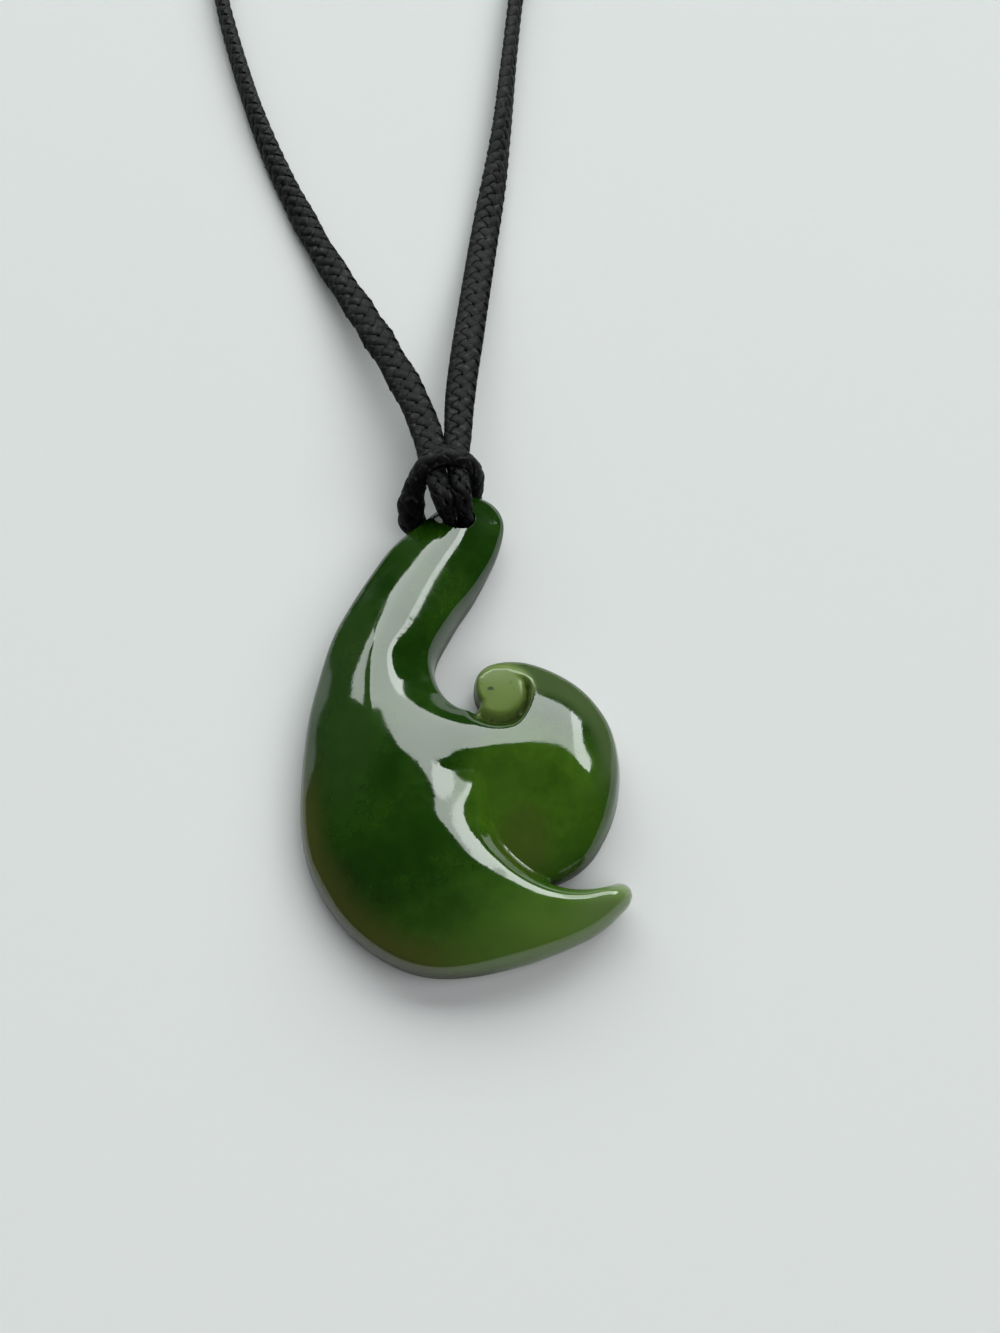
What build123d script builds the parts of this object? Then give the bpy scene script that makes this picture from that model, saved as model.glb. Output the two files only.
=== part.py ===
from build123d import *
from collections import namedtuple
from math import pi, radians, tan
import os

os.makedirs("parts", exist_ok=True)

# A carved green stone fish hook on a braided neck cord, lying on a table, in millimetres.
# +X is to the right, +Y runs up the neck to the drilled hole, and +Z is up off the table.
# The origin is the middle of the stone's outline, on the table.

# Stone
stone_length = 35.2
stone_width = 21.5
belly_thickness = 6.0
back_rounding = 1.0
rim_share = 0.38        # the widest line round the edge, as a share of the local thickness
end_lift = 1.4          # the drilled end is relieved at the back, so the cord passes under it
hole_diameter = 2.4
hole_x = -0.6
hole_to_end = 2.75      # from the hole's middle to the top of the stone
hole_y = stone_length / 2 - hole_to_end
koru_thickness = 4.9
dish_depth = 2.2
dish_radius = 10.0
bulb_diameter = 3.5
bulb_thickness = 3.4
bulb_slope_angle = 24.0
bulb_rounding = 0.7
bulb_step = 0.3         # the spiral's slope ends this much under the bulb's top
flat_under = 0.15       # the back is ground off by this much, so it lies flat
# The front's slopes pass through these points: across from the edge and up from the rim line,
# as shares of the slope's width and rise.
inner_slope = (0.30, 0.60)
outer_slope = (0.38, 0.74)

# Cord
cord_diameter = 1.9
strand_diameter = 1.5   # the same cord, pulled tight at the hole
wrap_diameter = 1.3     # and tighter still round the stone
strand_run = 2.6        # the last straight of each strand, in line with the cord that it meets
hole_clearance = 0.06
plug_height = 4.8       # of the two strands squeezed together in the hole, from the table up
knot_width = 5.6
knot_height = 3.8
knot_length = 7.0
side_gap = 1.02         # the two strands of the closure lie this many radii off its middle

# Sections across the hook, from the drilled end down the neck and round the belly to the tip.
# outer and inner are the two edges of the outline, x as a share of the stone's width and y of
# its length. ridge is the crest's place from the outer edge to the inner, and top and back are
# heights as shares of the belly's thickness and of the end's lift.
Section = namedtuple("Section", "outer_x outer_y inner_x inner_y ridge top back")
hook_sections = [
    Section(-0.079, 0.484, 0.056, 0.494, 0.50, 0.57, 1.30),
    Section(-0.140, 0.453, 0.107, 0.463, 0.50, 0.68, 1.03),
    Section(-0.209, 0.401, 0.122, 0.415, 0.52, 0.72, 1.00),
    Section(-0.270, 0.354, 0.095, 0.347, 0.56, 0.78, 0.65),
    Section(-0.326, 0.294, 0.037, 0.271, 0.58, 0.83, 0.22),
    Section(-0.405, 0.196, -0.044, 0.180, 0.60, 0.88, 0.00),
    Section(-0.456, 0.102, -0.097, 0.088, 0.61, 0.92, 0.00),
    Section(-0.489, -0.006, -0.074, -0.017, 0.64, 0.95, 0.00),
    Section(-0.4995, -0.142, -0.044, -0.111, 0.78, 0.98, 0.00),
    Section(-0.479, -0.276, 0.026, -0.168, 0.82, 1.00, 0.00),
    Section(-0.340, -0.413, 0.093, -0.236, 0.78, 1.00, 0.00),
    Section(-0.102, -0.4945, 0.163, -0.295, 0.80, 0.96, 0.00),
    Section(0.158, -0.476, 0.249, -0.339, 0.77, 0.88, 0.00),
    Section(0.326, -0.441, 0.340, -0.341, 0.62, 0.78, 0.00),
    Section(0.437, -0.397, 0.423, -0.335, 0.50, 0.68, 0.10),
    Section(0.484, -0.372, 0.474, -0.330, 0.50, 0.58, 0.25),
    Section(0.499, -0.362, 0.496, -0.344, 0.50, 0.48, 0.60),
]

# The spiral's outer edge, from beside the bulb clockwise to where it meets the hook's tip, and
# the part of its outline that lies inside the hook.
koru_edge = [
    (0.131, 0.111), (0.192, 0.111), (0.252, 0.095), (0.312, 0.076), (0.371, 0.048),
    (0.418, 0.012), (0.452, -0.024), (0.472, -0.063), (0.479, -0.117), (0.471, -0.162),
    (0.451, -0.207), (0.426, -0.244), (0.390, -0.280), (0.342, -0.307), (0.292, -0.324),
]
koru_inside = [
    (0.262, -0.375), (0.140, -0.340), (0.020, -0.240), (-0.170, -0.140), (-0.240, -0.050),
    (-0.130, 0.020), (-0.043, 0.012), (-0.007, -0.003), (0.060, -0.006), (0.120, 0.006),
]
# The plate's rounded side: heights as shares of its thickness, and the outline's size there.
koru_middle = (0.175, -0.110)
koru_levels = [(0.0, 0.89), (0.16, 0.965), (0.38, 1.0), (0.66, 0.965), (0.88, 0.88), (1.0, 0.77)]
bulb_place = (0.107, 0.060)
dish_place = (0.181, -0.273)

# Routes of the neck cord in millimetres: the loop is laid flat, as long as it is when worn at
# its short setting. Each half leaves the hitch, comes down to the table and runs to its knot.
left_route = [
    (-2.80, 21.0, 4.25), (-4.50, 25.4, 3.70), (-8.20, 33.4, 2.35), (-12.9, 43.0, 1.20),
    (-17.9, 54.2, 0.95), (-21.5, 65.2, 0.95), (-24.7, 77.0, 0.95), (-25.7, 91.0, 0.95),
    (-24.9, 109.0, 0.95), (-23.4, 130.0, 0.95), (-23.9, 152.0, 0.95), (-24.1, 168.0, 0.95),
    (-23.4, 181.0, 0.95),
]
right_route = [
    (-0.72, 21.0, 4.25), (-0.65, 25.6, 3.70), (0.10, 34.0, 2.30), (1.00, 43.5, 1.20),
    (2.35, 54.0, 0.95), (3.15, 65.0, 0.95), (4.10, 77.0, 0.95), (6.30, 92.0, 0.95),
    (7.70, 111.0, 0.95), (7.20, 132.0, 0.95), (7.70, 152.0, 0.95), (7.80, 168.0, 0.95),
    (7.10, 181.0, 0.95),
]
# Round the back of the loop the two ends lie side by side, from one sliding knot to the other.
closure_route = [
    (-23.21, 184.5, 0.95), (-22.3, 191.6, 0.95), (-18.9, 197.8, 0.95), (-12.6, 201.7, 0.95),
    (-4.50, 201.9, 0.95), (2.00, 198.4, 0.95), (5.80, 191.9, 0.95), (6.91, 184.5, 0.95),
]
# The wrap starts behind the hole, comes round the stone's left edge, lies across both strands
# in front and goes back over the stone's end to the hole.
wrap_route = [
    (-1.50, 14.85, 0.70), (-4.00, 15.10, 0.70), (-4.80, 15.60, 1.40), (-4.80, 16.40, 3.10),
    (-3.80, 17.60, 4.85), (-2.50, 18.35, 5.65), (-1.10, 18.50, 5.75), (0.15, 18.35, 5.15),
    (0.80, 18.25, 3.80), (0.75, 18.20, 2.00), (0.45, 17.80, 0.90), (0.00, 16.80, 0.70),
    (-0.38, 15.60, 0.70),
]
# Each strand comes up out of the hole and over the stone's end, under the wrap.
strand_starts = [[(-0.92, 14.65, 4.30), (-1.40, 16.25, 5.45)],
                 [(-0.28, 14.75, 4.35), (-0.45, 16.30, 5.45)]]


def on_stone(place, z=0.0):
    return Vector(place[0] * stone_width, place[1] * stone_length, z)


def corner_radii(points):
    """Each arc as large as the two runs at its corner allow."""
    found = []
    for before, here, after in zip(points, points[1:], points[2:]):
        arrive, leave = here - before, after - here
        half_turn = radians(arrive.get_angle(leave)) / 2
        found.append(0.45 * min(arrive.length, leave.length) / tan(half_turn))
    return found


def tube(name, route, diameter):
    points = [Vector(*p) for p in route]
    radii = corner_radii(points)
    path = FilletPolyline(*points, radius=radii)
    print(name, "length", round(path.length, 1), "radii", [round(r, 1) for r in radii])
    start = Plane(path @ 0, z_dir=path % 0)
    solid = sweep(start * Circle(diameter / 2), path=path)
    print(name, "volume over section times length",
          round(solid.volume / (pi * diameter ** 2 / 4 * path.length), 4))
    return solid


def hook_profile(row):
    """One closed section: a flat back, rounded lower corners and a domed front with a crest."""
    outer = on_stone((row.outer_x, row.outer_y))
    inner = on_stone((row.inner_x, row.inner_y))
    across = inner - outer
    width = across.length
    plane = Plane(outer, x_dir=across, z_dir=across.cross(Vector(0, 0, 1)))
    top = row.top * belly_thickness
    back = row.back * end_lift if row.back else -flat_under
    rim = back + rim_share * (top - back)
    corner = min(back_rounding, 0.3 * width)
    crest = row.ridge * width
    rise = top - rim
    bottom = Line((corner, back), (width - corner, back))
    inner_corner = Spline((width - corner, back), (width, rim), tangents=[(1, 0), (0, 1)])
    inner_front = Spline(
        (width, rim),
        (width - inner_slope[0] * (width - crest), rim + inner_slope[1] * rise),
        (crest, top),
        tangents=[(0, 1), (-1, 0)],
    )
    outer_front = Spline(
        (crest, top),
        (outer_slope[0] * crest, rim + outer_slope[1] * rise),
        (0, rim),
        tangents=[(-1, 0), (0, -1)],
    )
    outer_corner = Spline((0, rim), (corner, back), tangents=[(0, -1), (1, 0)])
    outline = bottom + inner_corner + inner_front + outer_front + outer_corner
    return plane * make_face(outline)


def hook_body():
    body = loft([hook_profile(row) for row in hook_sections])
    below = Pos(0, 0, -belly_thickness / 2) * Box(
        2 * stone_width, 2 * stone_length, belly_thickness)
    return body - below


def koru():
    """The spiral arm: a rounded plate with a shallow dish, falling away to a small bulb."""
    middle = on_stone(koru_middle)
    levels = []
    for height, size in koru_levels:
        around = [middle + (on_stone(p) - middle) * size + Vector(0, 0, height * koru_thickness)
                  for p in koru_edge]
        within = [middle + (on_stone(p) - middle) * size + Vector(0, 0, height * koru_thickness)
                  for p in koru_inside]
        levels.append(make_face(Spline(*around) + Polyline(around[-1], *within, around[0])))
    plate = loft(levels)
    floor = koru_thickness - dish_depth
    plate -= Pos(on_stone(dish_place, floor + dish_radius)) * Sphere(dish_radius)
    slope = Plane(
        on_stone(bulb_place, bulb_thickness - bulb_step),
        x_dir=(1, 1, 0),
        z_dir=Vector(0, 0, 1).rotate(Axis((0, 0, 0), (1, 1, 0)), -bulb_slope_angle),
    )
    falling = slope * extrude(Rectangle(stone_width / 2, stone_width / 2), belly_thickness)
    return plate - falling


def bulb():
    at = on_stone(bulb_place)
    disc = Pos(at + Vector(0, 0, bulb_thickness / 2)) * Cylinder(
        bulb_diameter / 2, bulb_thickness)
    ends = disc.edges().sort_by(Axis.Z)
    return fillet([ends[0], ends[-1]], bulb_rounding)


def fish_hook():
    hole = Pos(hole_x, hole_y, belly_thickness / 2) * Cylinder(
        hole_diameter / 2, 2 * belly_thickness)
    return hook_body() + koru() + bulb() - hole


def hitch():
    """The cord's middle as a cow hitch: two squeezed strands in the hole, and one wrap."""
    made = Pos(hole_x, hole_y, plug_height / 2) * Cylinder(
        hole_diameter / 2 - hole_clearance, plug_height)
    for start, route in zip(strand_starts, [left_route, right_route]):
        meets, after = Vector(*route[0]), Vector(*route[1])
        before = meets - (after - meets).normalized() * strand_run
        made += tube("strand", [*start, tuple(before), route[0]], strand_diameter)
    return made + tube("wrap", wrap_route, wrap_diameter)


def sliding_knot(route):
    """A barrel of turns whose outer face meets the end of the cord."""
    end = Vector(*route[-1])
    along = (end - Vector(*route[-2])).normalized()
    outer_face = Plane(Vector(end.X, end.Y, knot_height / 2), x_dir=along.cross(Vector(0, 0, 1)),
                       z_dir=along)
    return extrude(outer_face * Ellipse(knot_width / 2, knot_height / 2), knot_length)


def closure():
    made = sliding_knot(left_route) + sliding_knot(right_route)
    points = [Vector(*p) for p in closure_route]
    for side in (-1, 1):
        beside = []
        for here, before, after in zip(points, [points[0], *points], [*points[1:], points[-1]]):
            across = (after - before).cross(Vector(0, 0, 1)).normalized()
            beside.append(tuple(here + across * side * cord_diameter / 2 * side_gap))
        made += tube("closure strand", beside, cord_diameter)
    return made


nodes = {
    "fish_hook": fish_hook(),
    "hitch": hitch(),
    "cord_left": tube("cord_left", left_route, cord_diameter),
    "cord_right": tube("cord_right", right_route, cord_diameter),
    "closure": closure(),
}
for name, solid in nodes.items():
    export_step(solid, f"parts/{name}.step")
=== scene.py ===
from math import cos, radians, sin

import bpy
import numpy as np
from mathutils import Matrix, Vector
from mathutils.geometry import delaunay_2d_cdt


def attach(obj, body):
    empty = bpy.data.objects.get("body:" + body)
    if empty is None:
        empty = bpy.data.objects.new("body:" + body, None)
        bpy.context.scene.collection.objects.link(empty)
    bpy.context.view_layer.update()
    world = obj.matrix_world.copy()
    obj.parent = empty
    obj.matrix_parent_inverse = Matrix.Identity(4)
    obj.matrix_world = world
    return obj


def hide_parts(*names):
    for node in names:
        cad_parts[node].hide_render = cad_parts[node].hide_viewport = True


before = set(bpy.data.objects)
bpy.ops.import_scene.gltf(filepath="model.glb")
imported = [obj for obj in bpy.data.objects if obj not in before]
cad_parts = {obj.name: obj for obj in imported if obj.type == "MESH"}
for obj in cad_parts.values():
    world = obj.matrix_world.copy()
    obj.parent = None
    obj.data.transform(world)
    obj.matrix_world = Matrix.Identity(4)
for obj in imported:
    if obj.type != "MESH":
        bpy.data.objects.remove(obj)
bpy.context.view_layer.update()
mm = 0.001


def easeBetween(low, high, value):
    t = np.clip((value - low) / (high - low), 0, 1)
    return t * t * (3 - 2 * t)


def throughPoints(rows, step):
    # a smooth open line through the given rows
    rows = np.array(rows, float)
    padded = np.vstack([2 * rows[0] - rows[1], rows, 2 * rows[-1] - rows[-2]])
    out = []
    for a, b, c, d in zip(padded, padded[1:], padded[2:], padded[3:]):
        count = max(2, int(np.linalg.norm(c - b) / step))
        for t in np.arange(count) / count:
            out.append(0.5 * (2 * b + (c - a) * t + (2 * a - 5 * b + 4 * c - d) * t ** 2
                              + (3 * b - a - 3 * c + d) * t ** 3))
    out.append(rows[-1])
    return np.array(out)


def nearLine(places, line):
    # distance to an open line
    starts, runs = line[:-1], line[1:] - line[:-1]
    lengths = (runs ** 2).sum(1)
    gap = np.empty(len(places))
    for first in range(0, len(places), 8000):
        away = places[first:first + 8000, None, :] - starts[None]
        t = np.clip((away * runs[None]).sum(2) / lengths, 0, 1)
        offset = away - t[:, :, None] * runs[None]
        gap[first:first + 8000] = np.sqrt((offset ** 2).sum(2).min(1))
    return gap


def softMax(a, b, width):
    h = np.clip(0.5 + 0.5 * (a - b) / width, 0, 1)
    return b + (a - b) * h + width * h * (1 - h)


def softMin(a, b, width):
    return -softMax(-a, -b, width)


# all in millimetres; the lines run from the drilled end down the neck and round the belly
# a height is (x, y, z), and a lean is (x, y, towards x, towards y, rise per millimetre)
jadeHook = {
    "outerEdge": [
        (-0.35, 17.5), (-1.4, 16.95), (-2.25, 16.2), (-3.05, 15.45), (-4.5, 14.02), (-5.76, 12.54),
        (-6.93, 10.48), (-8.19, 8.02), (-9.29, 5.39), (-10.08, 2.36), (-10.56, -0.28), (-10.73, -2.85),
        (-10.74, -5.38), (-10.62, -7.4), (-10.25, -9.45), (-9.63, -11.21), (-8.44, -13.2), (-7.04, -14.81),
        (-5.45, -16.05), (-3.94, -16.87), (-2.5, -17.32), (-0.93, -17.47), (0.8, -17.33), (2.55, -16.99),
        (4.26, -16.55), (5.56, -16.08), (6.86, -15.55), (8.17, -14.92), (9.2, -14.22), (10, -13.5),
        (10.5, -12.98), (10.73, -12.42)],
    "tipAndThroat": [
        (10.73, -12.42), (10.62, -11.92), (10.24, -11.6), (9.75, -11.56), (9.16, -11.75), (8.27, -11.95),
        (6.95, -12.03), (6.1, -11.92), (5.52, -11.68)],
    "spiralEdge": [
        (5.52, -11.68), (6.27, -11.41), (7.36, -10.8), (8.38, -9.84), (9.15, -8.58), (9.72, -7.3),
        (10.13, -5.72), (10.28, -4.05), (10.12, -2.25), (9.71, -0.8), (8.98, 0.48), (7.98, 1.68),
        (6.71, 2.68), (5.42, 3.4), (4.12, 3.84), (2.9, 3.93), (1.9, 3.76), (1.18, 3.38), (0.72, 2.78),
        (0.56, 1.95), (0.66, 1.15), (1, 0.52)],
    "neckEdge": [
        (1, 0.52), (0.55, -0.02), (-0.12, -0.1), (-0.93, 0.55), (-1.59, 1.54), (-2.01, 2.65), (-2.1, 3.6),
        (-1.83, 4.6), (-1.17, 6.01), (-0.43, 7.45), (0.26, 8.57), (0.92, 9.75), (1.72, 11.41), (2.25, 12.8),
        (2.58, 14.3), (2.6, 15.45), (2.24, 16.44), (1.58, 17.15), (0.65, 17.52), (-0.35, 17.5)],
    # where the neck's light band runs on into the spiral's stem
    "sharedHeights": {
        "shoulder": [(-5.35, 1.4, 5.35), (-5.3, -0.1, 5.52), (-4.9, -1.6, 5.66), (-4.1, -3, 5.78),
                     (-3.2, -4.2, 5.86)],
        "stem": [(-2.3, -3, 5.62), (-1.3, -3.6, 5.5), (-1.1, -4.8, 5.68), (-0.1, -4.1, 5.38),
                 (1, -3.7, 5.18)],
        "throat": [(-0.9, 0.5, 3.4), (-0.1, -0.1, 3.5), (-1.6, 1.5, 3.3), (-2.05, 2.65, 3.3)]},
    "sharedLeans": {
        "shoulder": [(-6.26, 0.65, 1, 0, 0.39), (-6.06, -0.88, 1, 0, 0.37), (-5.46, -2.27, 0, 1, -0.03),
                     (-4.55, -3.72, 0, 1, -0.03), (-3.55, -4.91, 0, 1, -0.03), (-2.57, -5.86, 0, 1, -0.03)],
        "bandEdge": [(-4.56, 1.02, 1, 0, -0.5), (-3.87, -0.18, 0.85, 0.53, -0.57),
                     (-2.87, -1.09, 0.57, 0.82, -0.43), (-1.58, -1.65, 0.3, 0.95, -0.41),
                     (-0.07, -1.98, 0.1, 0.995, -0.41)],
        "stem": [(-0.03, -4.06, 0, 1, -0.03), (-1.06, -4.82, 0, 1, -0.03), (1.02, -3.71, 0, 1, -0.07)]},
    "hookHeights": {
        "outerRim": [
            (-0.35, 17.5, 2.3), (-2.25, 16.2, 2.3), (-4.5, 14, 2.55), (-6.9, 10.5, 2.65), (-8.2, 8, 2.8),
            (-9.3, 5.4, 2.95), (-10.1, 2.35, 2.5), (-10.55, -0.3, 2.4), (-10.75, -3.5, 2.2),
            (-10.7, -6.4, 2.2), (-10.25, -9.45, 2.2), (-9, -12.3, 2.2), (-7.05, -14.8, 2.3),
            (-5.45, -16.05, 2.4), (-3.2, -17.1, 2.5), (-0.9, -17.45, 2.5), (1.7, -17.2, 2.5),
            (4.25, -16.55, 2.6), (6.85, -15.55, 2.6), (9.2, -14.2, 2.5), (10.5, -13, 2.3)],
        "neckRim": [
            (1.6, 17.1, 1.9), (2.6, 15.3, 1.95), (2.25, 12.8, 2.25), (1.2, 10.3, 2.5), (0.25, 8.55, 2.8),
            (-0.8, 6.7, 3.25), (-1.85, 4.6, 3.3)],
        "neckCrest": [
            (-0.7, 16.2, 2.88), (-0.9, 15, 3.25), (-1.1, 13.8, 3.53), (-1.7, 12.5, 3.78), (-2.4, 11, 4.04),
            (-3.3, 9.5, 4.32), (-4, 7.85, 4.6), (-4.6, 5.9, 4.93), (-5.3, 3, 5.28), (1, 14.5, 3)],
        "leftFlank": [(-3.8, 12.9, 3.45), (-5.3, 10.2, 3.7), (-7, 6.5, 3.95), (-8, 2, 4.35)],
        "belly": [
            (-7.6, -3.5, 4.8), (-9.4, -3.5, 3.45), (-6.5, -8, 5.05), (-8.8, -8, 3.55), (-6, -12, 4.45),
            (-3, -13, 5), (-1, -15.2, 4.15), (-4, -15, 3.65), (1.5, -14.5, 4.75), (4.5, -14.8, 4.2),
            (7.5, -14.3, 3.5)],
        "lowRidge": [
            (-2.35, -6.8, 5.98), (-1.15, -9.15, 5.98), (1.1, -11.55, 5.82), (2.7, -12.4, 5.55),
            (4.3, -13, 5.15), (5.9, -13.2, 4.7), (7.55, -13.1, 4.2), (9, -12.7, 3.55), (10.1, -12.3, 2.8)],
        "innerFoot": [
            (1, -5.05, 5.05), (1.05, -6.4, 4.75), (1.55, -8, 3.6), (2.2, -9.3, 3.1), (3.1, -10.4, 2.9),
            (4.35, -11.35, 2.7), (5.5, -11.8, 2.1), (6.95, -12.05, 1.9), (8.3, -11.95, 1.9),
            (9.75, -11.55, 1.8), (2.2, -6, 2.8), (2.6, -7.7, 1.8), (3.4, -9.2, 1.2), (4.6, -10.4, 1)]},
    "hookLeans": {
        "alongNeck": [
            (-5.5, 4.6, 0, 1, -0.2), (-5.9, 3.5, 0, 1, -0.12), (-5.1, 6, 0, 1, -0.18),
            (-4.45, 5.45, 0.44, 0.9, -0.15), (-4.1, 6.55, 0.44, 0.9, -0.15), (-3.45, 8.15, 0.44, 0.9, -0.17),
            (-2.8, 9.75, 0.44, 0.9, -0.17), (-1.95, 11.45, 0.44, 0.9, -0.18),
            (-1.25, 12.85, 0.44, 0.9, -0.18), (-0.8, 14.15, 0.44, 0.9, -0.2), (-3.75, 7.3, 0.44, 0.9, -0.16),
            (-3.15, 8.9, 0.44, 0.9, -0.17), (-2.4, 10.6, 0.44, 0.9, -0.17), (-1.6, 12.15, 0.44, 0.9, -0.18)],
        "leftFlank": [
            (-6.3, 10.5, -0.8, 0.6, -0.6), (-7.8, 7.4, -0.83, 0.56, -0.66), (-8.7, 5.2, -0.86, 0.5, -0.72),
            (-4.6, 12.9, -0.78, 0.62, -0.58), (-1.8, 16, -0.6, 0.8, -0.56), (-2.6, 15, -0.7, 0.7, -0.58),
            (-3.4, 14, -0.75, 0.66, -0.6)],
        "drilledEnd": [
            (0.45, 15.3, 1, 0, -0.6), (0.78, 15.15, 1, 0, -0.66), (2.1, 16.4, 0.7, 0.7, -0.58),
            (2.4, 15.6, 0.95, 0.3, -0.59), (2.2, 15, 1, 0, -0.62), (2.1, 13.6, 1, 0, -0.68),
            (-0.7, 15, 0, 1, -0.42), (-0.7, 16.3, 0, 1, -0.52), (0.3, 16.6, 0.2, 0.98, -0.54),
            (1.3, 15.7, 0.7, 0.7, -0.6), (1.5, 14.3, 0.95, 0.3, -0.61), (1.3, 13, 1, 0, -0.6),
            (0.5, 13.6, 1, 0, -0.58), (0.7, 14.9, 1, 0, -0.61), (0.6, 16.2, 0.6, 0.8, -0.58),
            (1.7, 16.1, 0.7, 0.7, -0.59), (0.65, 15.5, 0.8, 0.6, -0.6), (0.75, 14.6, 1, 0, -0.6),
            (0.1, 16.15, 0.3, 0.95, -0.56), (0.45, 14.1, 1, 0, -0.6)],
        "rightFlank": [
            (1.9, 12.6, 0.95, -0.3, -0.64), (0.6, 9.6, 1, 0, -0.56), (0.1, 8.8, 1, 0, -0.56),
            (0.25, 12.3, 0.92, -0.38, -0.57), (-0.4, 10.8, 0.9, -0.44, -0.57),
            (-1.25, 9.1, 0.9, -0.44, -0.57), (-1.95, 7.5, 0.91, -0.42, -0.57), (-2.6, 6, 0.93, -0.38, -0.57),
            (-3, 5.1, 0.95, -0.3, -0.56), (1.5, 11.8, 0.92, -0.38, -0.6)],
        # the leans at these two edges set where the window's reflection ends
        "bandLeftEdge": [
            (-1.9, 13.6, 1, 0, 0.39), (-2.86, 12.49, 1, 0, 0.39), (-3.74, 11, 1, 0, 0.39),
            (-4.6, 9.53, 1, 0, 0.39), (-5.31, 7.83, 1, 0, 0.4), (-5.78, 5.91, 1, 0, 0.4),
            (-6.11, 3.79, 1, 0, 0.39), (-6.28, 2.2, 1, 0, 0.38)],
        "bandRightEdge": [
            (-0.25, 13.9, 1, 0, -0.44), (-0.72, 12.6, 0.92, -0.38, -0.36), (-1.4, 11.2, 0.9, -0.44, -0.36),
            (-2.25, 9.5, 0.9, -0.44, -0.36), (-2.9, 7.9, 0.91, -0.42, -0.36),
            (-3.53, 6.3, 0.93, -0.38, -0.37), (-3.9, 5.2, 0.95, -0.3, -0.38), (-4.37, 4.13, 1, 0, -0.44),
            (-4.88, 3.2, 1, 0, -0.47), (-4.88, 2.29, 1, 0, -0.47)],
        "sideStreak": [
            (-7.5, 2.8, 1, 0, 0.63), (-6.7, 5.2, 1, 0, 0.53), (-8.1, 0.4, 1, 0, 0.68),
            (-7.8, 1.5, 1, 0, 0.66), (-6.2, 6.4, 1, 0, 0.49)],
        "shoulder": [
            (-5.6, 2.4, 0, 1, -0.1), (-5.8, 1.4, 0, 1, -0.09), (-5.7, -0.1, 0, 1, -0.14),
            (-5.4, -0.8, 0, 1, -0.12), (-5, -1.5, 0, 1, -0.1)],
        "upperBelly": [
            (-7.3, -1.2, 0, 1, 0.06), (-7, -3, 0, 1, 0.06), (-4.4, -6.2, 0, 1, 0.07),
            (-3.4, -6.9, 0, 1, 0.06), (-5.4, -5.2, 0, 1, 0.06), (-6.2, -3.6, 0, 1, 0.05)],
        "ridgeTop": [
            (-1.8, -5.4, 0, 1, -0.1), (-0.9, -6.2, 0, 1, -0.12), (-0.2, -7, 0, 1, -0.15),
            (-0.4, -5.5, 0, 1, -0.1), (0.3, -6.3, 0, 1, -0.14), (-1, -7.8, 0, 1, -0.16),
            (-0.7, -8.6, 0, 1, -0.17), (-0.3, -9.2, 0, 1, -0.2), (0.3, -9.7, 0, 1, -0.22),
            (-0.5, -9, 1, 0, -0.3), (0, -9.6, 1, 0, -0.33), (-1.2, -8.9, 0, 1, -0.1),
            (0.5, -10.4, 0, 1, -0.22)],
        "ridgeOuterEdge": [
            (-2.34, -6.78, 0, 1, -0.03), (-1.9, -7.87, 0, 1, -0.03), (-1.16, -9.15, 0, 1, -0.03),
            (-0.03, -10.42, 0, 1, -0.03), (1.09, -11.56, 0, 1, -0.03), (2.69, -12.43, 0, 1, -0.02),
            (4.29, -12.99, 0, 1, -0.02), (5.91, -13.24, 0, 1, -0.02), (7.56, -13.09, 0, 1, -0.02),
            (9.04, -12.68, 0, 1, -0.02)],
        "ridgeInnerEdge": [
            (0.83, -5.88, 1, 0.2, -0.52), (0.73, -6.85, 1, 0.2, -0.52), (0.42, -7.59, 0.9, 0.4, -0.52),
            (0.1, -8.3, 0.8, 0.6, -0.44), (0.55, -9.1, 0.75, 0.66, -0.46), (1.28, -10.24, 0.72, 0.69, -0.5),
            (2.29, -11.17, 0.65, 0.76, -0.48), (3.5, -12.1, 0.5, 0.87, -0.45),
            (4.71, -12.59, 0.3, 0.95, -0.41), (6.13, -12.88, 0.1, 0.99, -0.4), (7.57, -12.92, 0, 1, -0.4),
            (9.25, -12.62, -0.2, 0.98, -0.4)]},
    "spiralHeights": {
        "stem": [(8.3, -5.6, 4.3), (7.4, -4.1, 4.62), (5.3, -3.4, 4.87), (2.3, -3.4, 5.02)],
        "rim": [
            (9.7, -7.3, 2.5), (10.15, -5.7, 2.7), (10.3, -4.05, 2.75), (10.1, -2.25, 2.8), (9.7, -0.8, 2.75),
            (9, 0.5, 2.7), (8, 1.7, 2.65), (6.7, 2.7, 2.6), (5.4, 3.4, 2.55), (4.1, 3.85, 2.5),
            (2.9, 3.95, 2.5), (9.15, -8.6, 2.1), (8.4, -9.85, 2), (7.35, -10.8, 2), (6.25, -11.4, 2)],
        "arm": [
            (1.4, -2.1, 4.75), (3.4, -1.3, 4.5), (4.4, 0.6, 3.95), (4.2, 1.6, 3.55), (3.6, 2.4, 3.2),
            (2.4, 2.9, 3), (6.2, 0.9, 3.72), (5.3, 1.9, 3.4)],
        "dish": [
            (3.5, -5.5, 4.25), (2, -5.5, 4.4), (5.5, -5.5, 4.35), (3.8, -7.5, 3.8), (6.3, -7.5, 3.9),
            (2.4, -7.5, 3.7), (5, -9.5, 3.3), (3.5, -9.3, 3.25), (7.6, -8.8, 3.3), (6.3, -10.3, 2.8),
            (5.2, -10.8, 2.85)],
        "underRidge": [
            (0, -6.5, 4), (0.3, -8.5, 3.2), (1.5, -10.5, 2.5), (3.3, -12, 2.1), (-3, -6.8, 4.6),
            (-1.7, -7.2, 3.9), (-1.2, -6, 4.7), (1, -5.1, 4.7), (1.1, -6.4, 4.2)]},
    "spiralLeans": {
        "stem": [
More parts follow.
